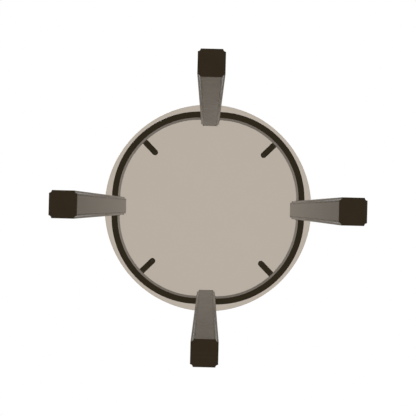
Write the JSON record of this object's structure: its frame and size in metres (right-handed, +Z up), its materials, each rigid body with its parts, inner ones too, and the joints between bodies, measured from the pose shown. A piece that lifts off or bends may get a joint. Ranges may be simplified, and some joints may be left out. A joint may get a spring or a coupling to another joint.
{
  "type": "round table",
  "caption": "Round laminated table top with an edge band on a welded apron ring of four bowed rails, square legs with coved and grooved corners, push-in foot caps and screwed fixing tabs.",
  "frame": {"origin": "on the floor, under the middle of the round top", "axes": "+Z up, towards the table top; +X towards the right leg and +Y towards the back leg"},
  "size_m": [0.7, 0.7, 0.75],
  "materials": {
    "top_laminate": "satin taupe laminate",
    "edge_band": "satin taupe edge band",
    "board_core": "pressed board",
    "frame_coat": "satin brown-black powder coat",
    "foot_nylon": "moulded nylon",
    "screw_metal": "blackened steel",
    "insert_metal": "turned brass"
  },
  "bodies": {
    "root": {"top_core": "board_core", "top_laminate": "top_laminate", "underside_laminate": "top_laminate", "edge_band": "edge_band", "threaded_inserts": "insert_metal", "tab_screws": "screw_metal", "leg_right": "frame_coat", "leg_back": "frame_coat", "leg_left": "frame_coat", "leg_front": "frame_coat", "foot_cap_right": "foot_nylon", "foot_cap_back": "foot_nylon", "foot_cap_left": "foot_nylon", "foot_cap_front": "foot_nylon", "leg_top_plug_right": "foot_nylon", "leg_top_plug_back": "foot_nylon", "leg_top_plug_left": "foot_nylon", "leg_top_plug_front": "foot_nylon", "apron_arc_back_right": "frame_coat", "apron_arc_back_left": "frame_coat", "apron_arc_front_left": "frame_coat", "apron_arc_front_right": "frame_coat", "fixing_tab_back_right": "frame_coat", "fixing_tab_back_left": "frame_coat", "fixing_tab_front_left": "frame_coat", "fixing_tab_front_right": "frame_coat", "apron_welds": "frame_coat", "tab_welds": "frame_coat"}
  },
  "joints": []
}
